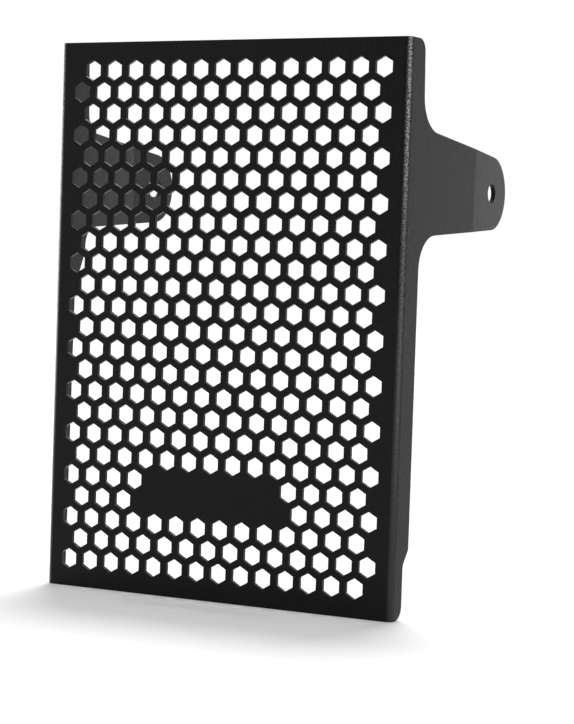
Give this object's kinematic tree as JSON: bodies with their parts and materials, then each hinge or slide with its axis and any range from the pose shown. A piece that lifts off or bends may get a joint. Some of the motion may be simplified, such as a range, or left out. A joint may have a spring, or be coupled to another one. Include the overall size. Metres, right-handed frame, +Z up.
{
  "type": "motorcycle radiator guard",
  "caption": "Perforated sheet guard that stands in front of a motorcycle's radiator: a flat honeycomb panel with side flanges and two long rearward mounting tabs.",
  "frame": {"origin": "under the middle of the guard's bounding box, level with the panel's lower edge", "axes": "+Z up along the panel, -Y out of the panel's front face, +X to the right seen from the front, along the axis of the mounting holes"},
  "size_m": [0.1698, 0.0982, 0.233],
  "materials": {
    "powder_coat": "satin"
  },
  "bodies": {
    "root": {"guard_sheet": "powder_coat"}
  },
  "joints": []
}
